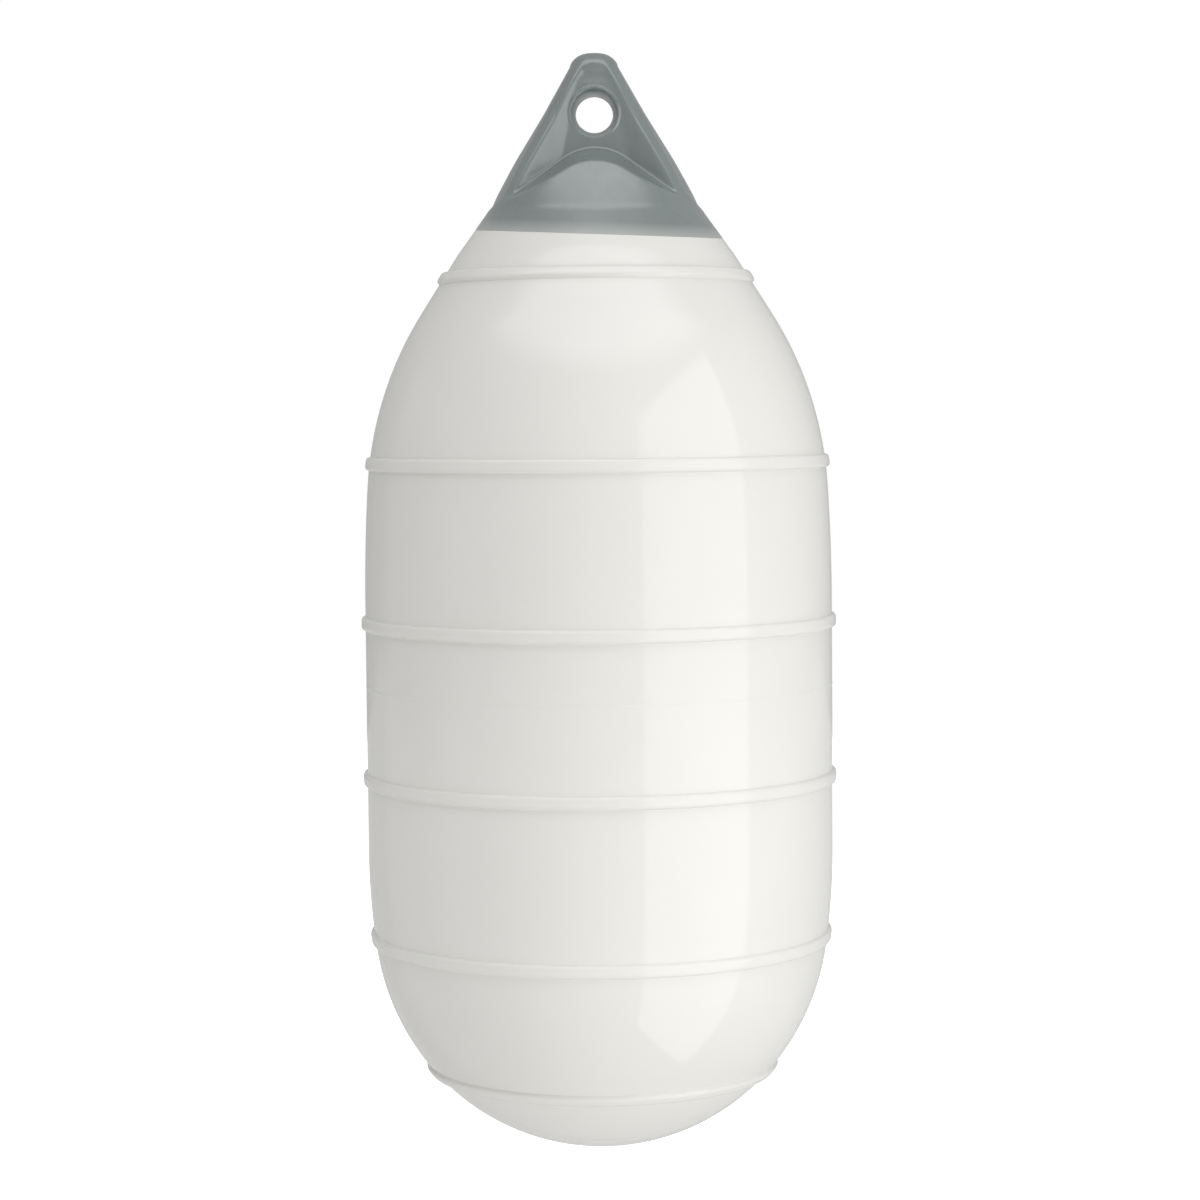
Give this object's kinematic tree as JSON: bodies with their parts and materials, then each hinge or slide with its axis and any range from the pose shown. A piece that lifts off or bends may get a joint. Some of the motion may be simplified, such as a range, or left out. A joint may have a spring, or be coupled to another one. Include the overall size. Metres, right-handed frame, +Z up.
{
  "type": "mooring buoy",
  "caption": "Long inflatable mooring buoy with a rounded foot, raised bead rings and a solid rope cone with an eye at its head.",
  "frame": {"origin": "centre of the rope eye, on the buoy's axis", "axes": "+Z up along the buoy's axis as it hangs from its eye; the eye runs along Y; the front shown in the picture faces -Y"},
  "size_m": [0.3495, 0.3494, 0.8041],
  "materials": {
    "white_vinyl": "smooth glossy vinyl, faintly warm white",
    "grey_vinyl": "satin moulded vinyl, cool green-grey",
    "valve_plastic": "satin moulded plastic"
  },
  "bodies": {
    "root": {"buoy_body": "white_vinyl", "ropehold": "grey_vinyl", "valve_plug": "valve_plastic"}
  },
  "joints": []
}
